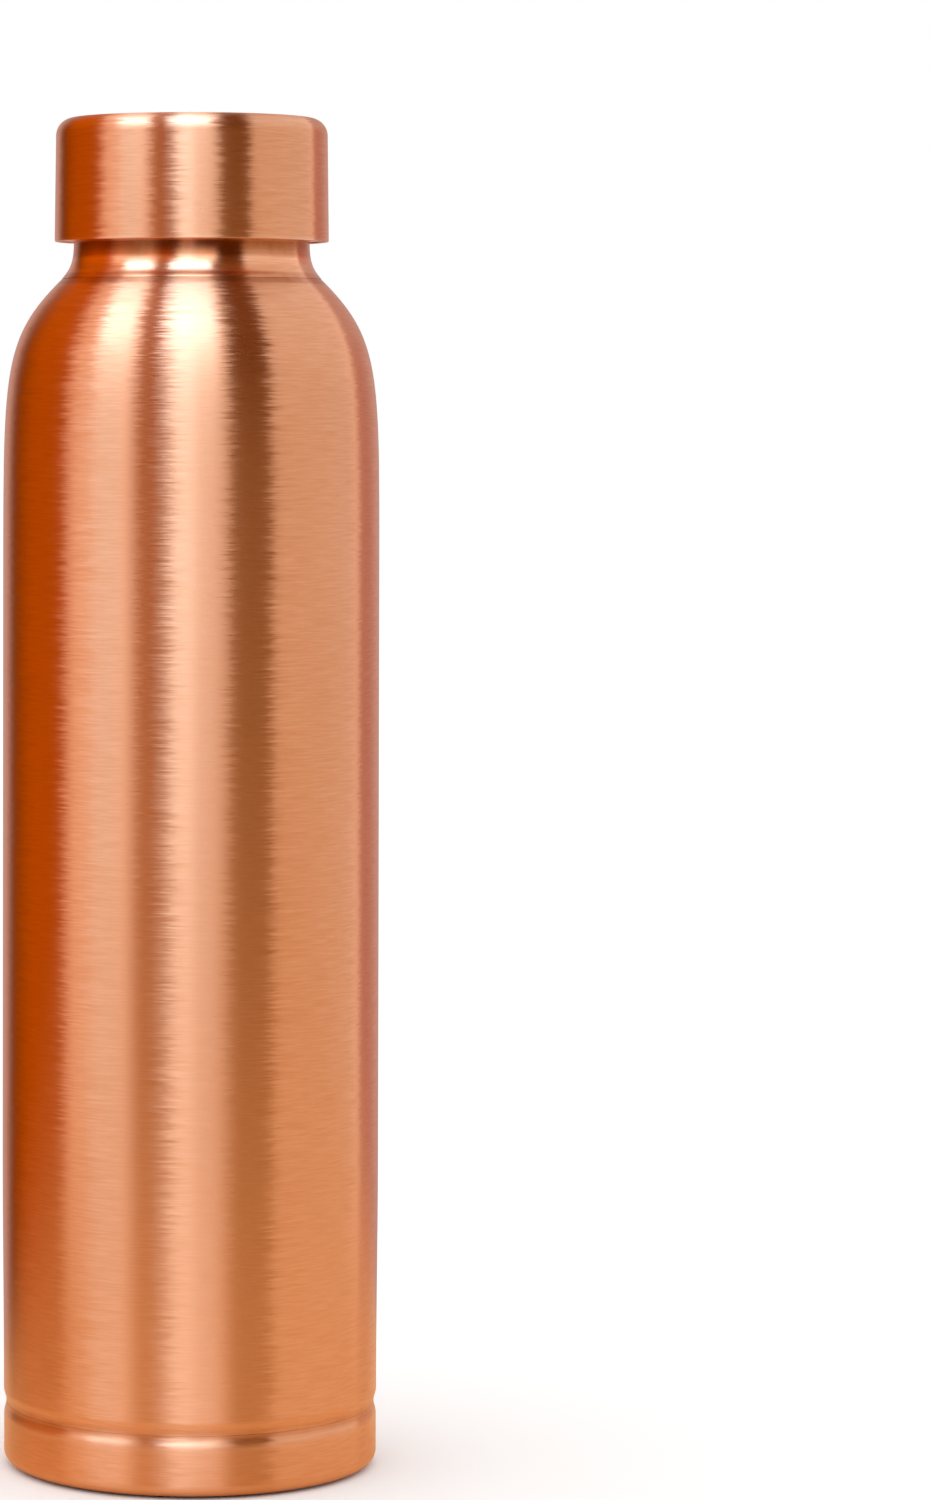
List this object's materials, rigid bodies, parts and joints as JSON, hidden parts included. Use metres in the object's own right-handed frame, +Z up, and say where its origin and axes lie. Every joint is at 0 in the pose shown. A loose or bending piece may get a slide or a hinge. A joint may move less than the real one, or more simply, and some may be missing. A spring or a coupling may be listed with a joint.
{
  "type": "water bottle",
  "caption": "Tall round copper water bottle with a domed shoulder, a groove above its base, and a wide screw cap that turns and rises along its thread.",
  "frame": {"origin": "centre of the foot ring, in the plane that the bottle stands on", "axes": "+Z up along the bottle's axis, towards the cap; X and Y are level, and the bottle is round about +Z"},
  "size_m": [0.075, 0.075, 0.2682],
  "materials": {
    "body_copper": "satin copper, brushed round the bottle",
    "base_copper": "satin copper, brushed round the base",
    "neck_copper": "satin copper, turned",
    "cap_copper": "satin copper, brushed round the cap",
    "liner_copper": "plain copper, as pressed",
    "braze_filler": "dull braze",
    "silicone": "matt white food-grade silicone"
  },
  "bodies": {
    "bottle": {"body_shell": "body_copper", "base_cup": "base_copper", "base_braze_ring": "braze_filler", "neck_collar": "neck_copper", "neck_braze_ring": "braze_filler"},
    "seal": {"cap_gasket": "silicone"},
    "cap": {"cap_shell": "cap_copper", "cap_liner": "liner_copper"}
  },
  "joints": [
    {"name": "cap_rise", "type": "slide", "parent": "bottle", "child": "seal", "axis": [0, 0, 1], "range_m": [0, 0.032]},
    {"name": "cap_turn", "type": "hinge", "parent": "seal", "child": "cap", "pos_m": [0, 0, 0.2431], "axis": [0, 0, 1], "range_deg": [0, 2880]}
  ],
  "couplings": [
    {"joint": "cap_rise", "follows": "cap_turn", "m_per_rad": 0.00063662}
  ]
}
